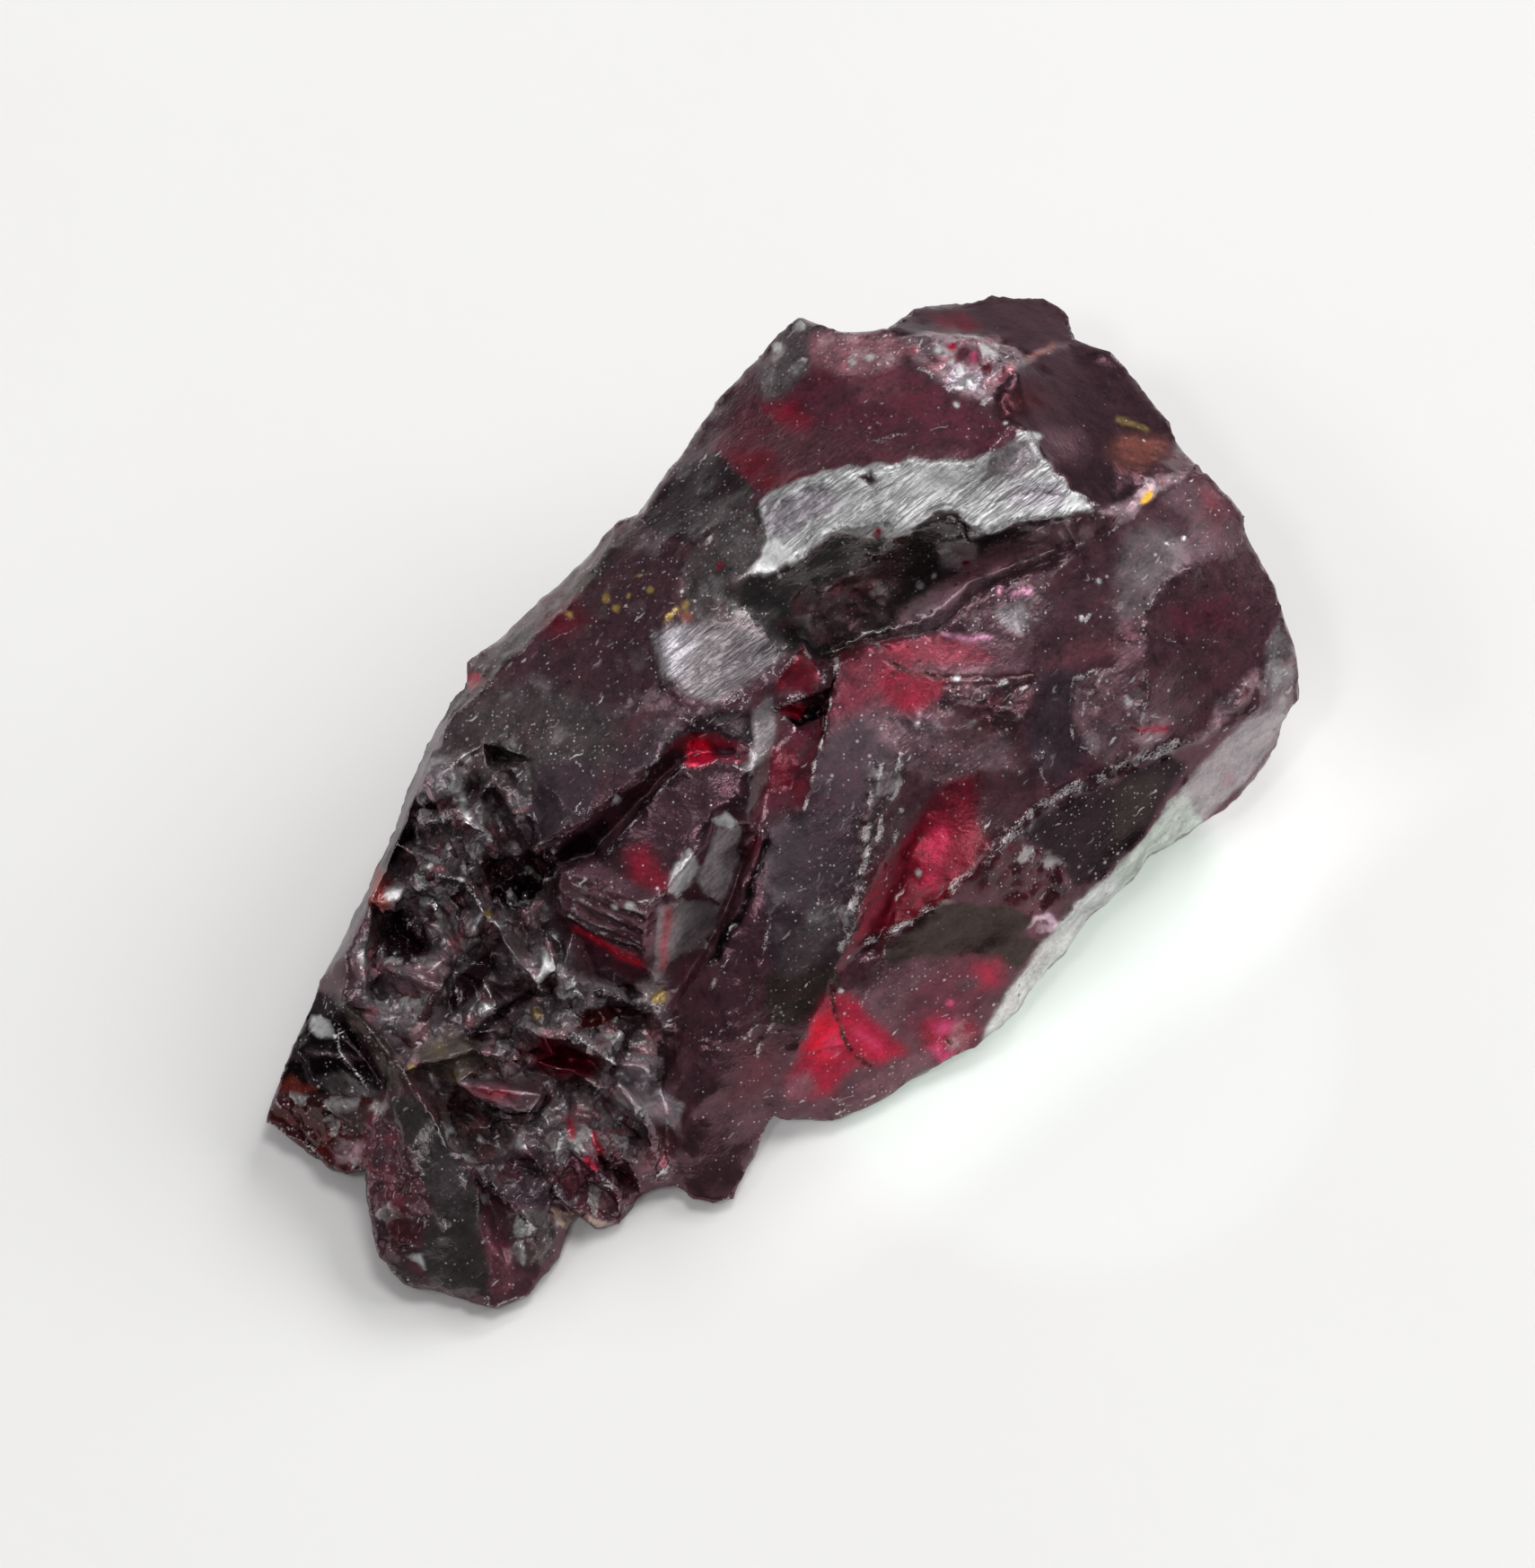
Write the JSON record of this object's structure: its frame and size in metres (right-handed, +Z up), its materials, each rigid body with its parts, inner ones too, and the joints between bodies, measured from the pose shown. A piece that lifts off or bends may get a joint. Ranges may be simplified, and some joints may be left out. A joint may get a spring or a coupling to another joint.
{
  "type": "rough painite crystal",
  "caption": "Rough gemstone fragment, dark red and translucent, with shell-like fracture faces and one flat base it lies on.",
  "frame": {"origin": "centre of the stone's box in X and Y, on the flat base it lies on", "axes": "+X along the stone's length towards its broad end, +Z up from the flat base"},
  "size_m": [0.026, 0.0148, 0.0098],
  "materials": {
    "painite": "vitreous, translucent dark red"
  },
  "bodies": {
    "root": {"painite_crystal": "painite"}
  },
  "joints": []
}
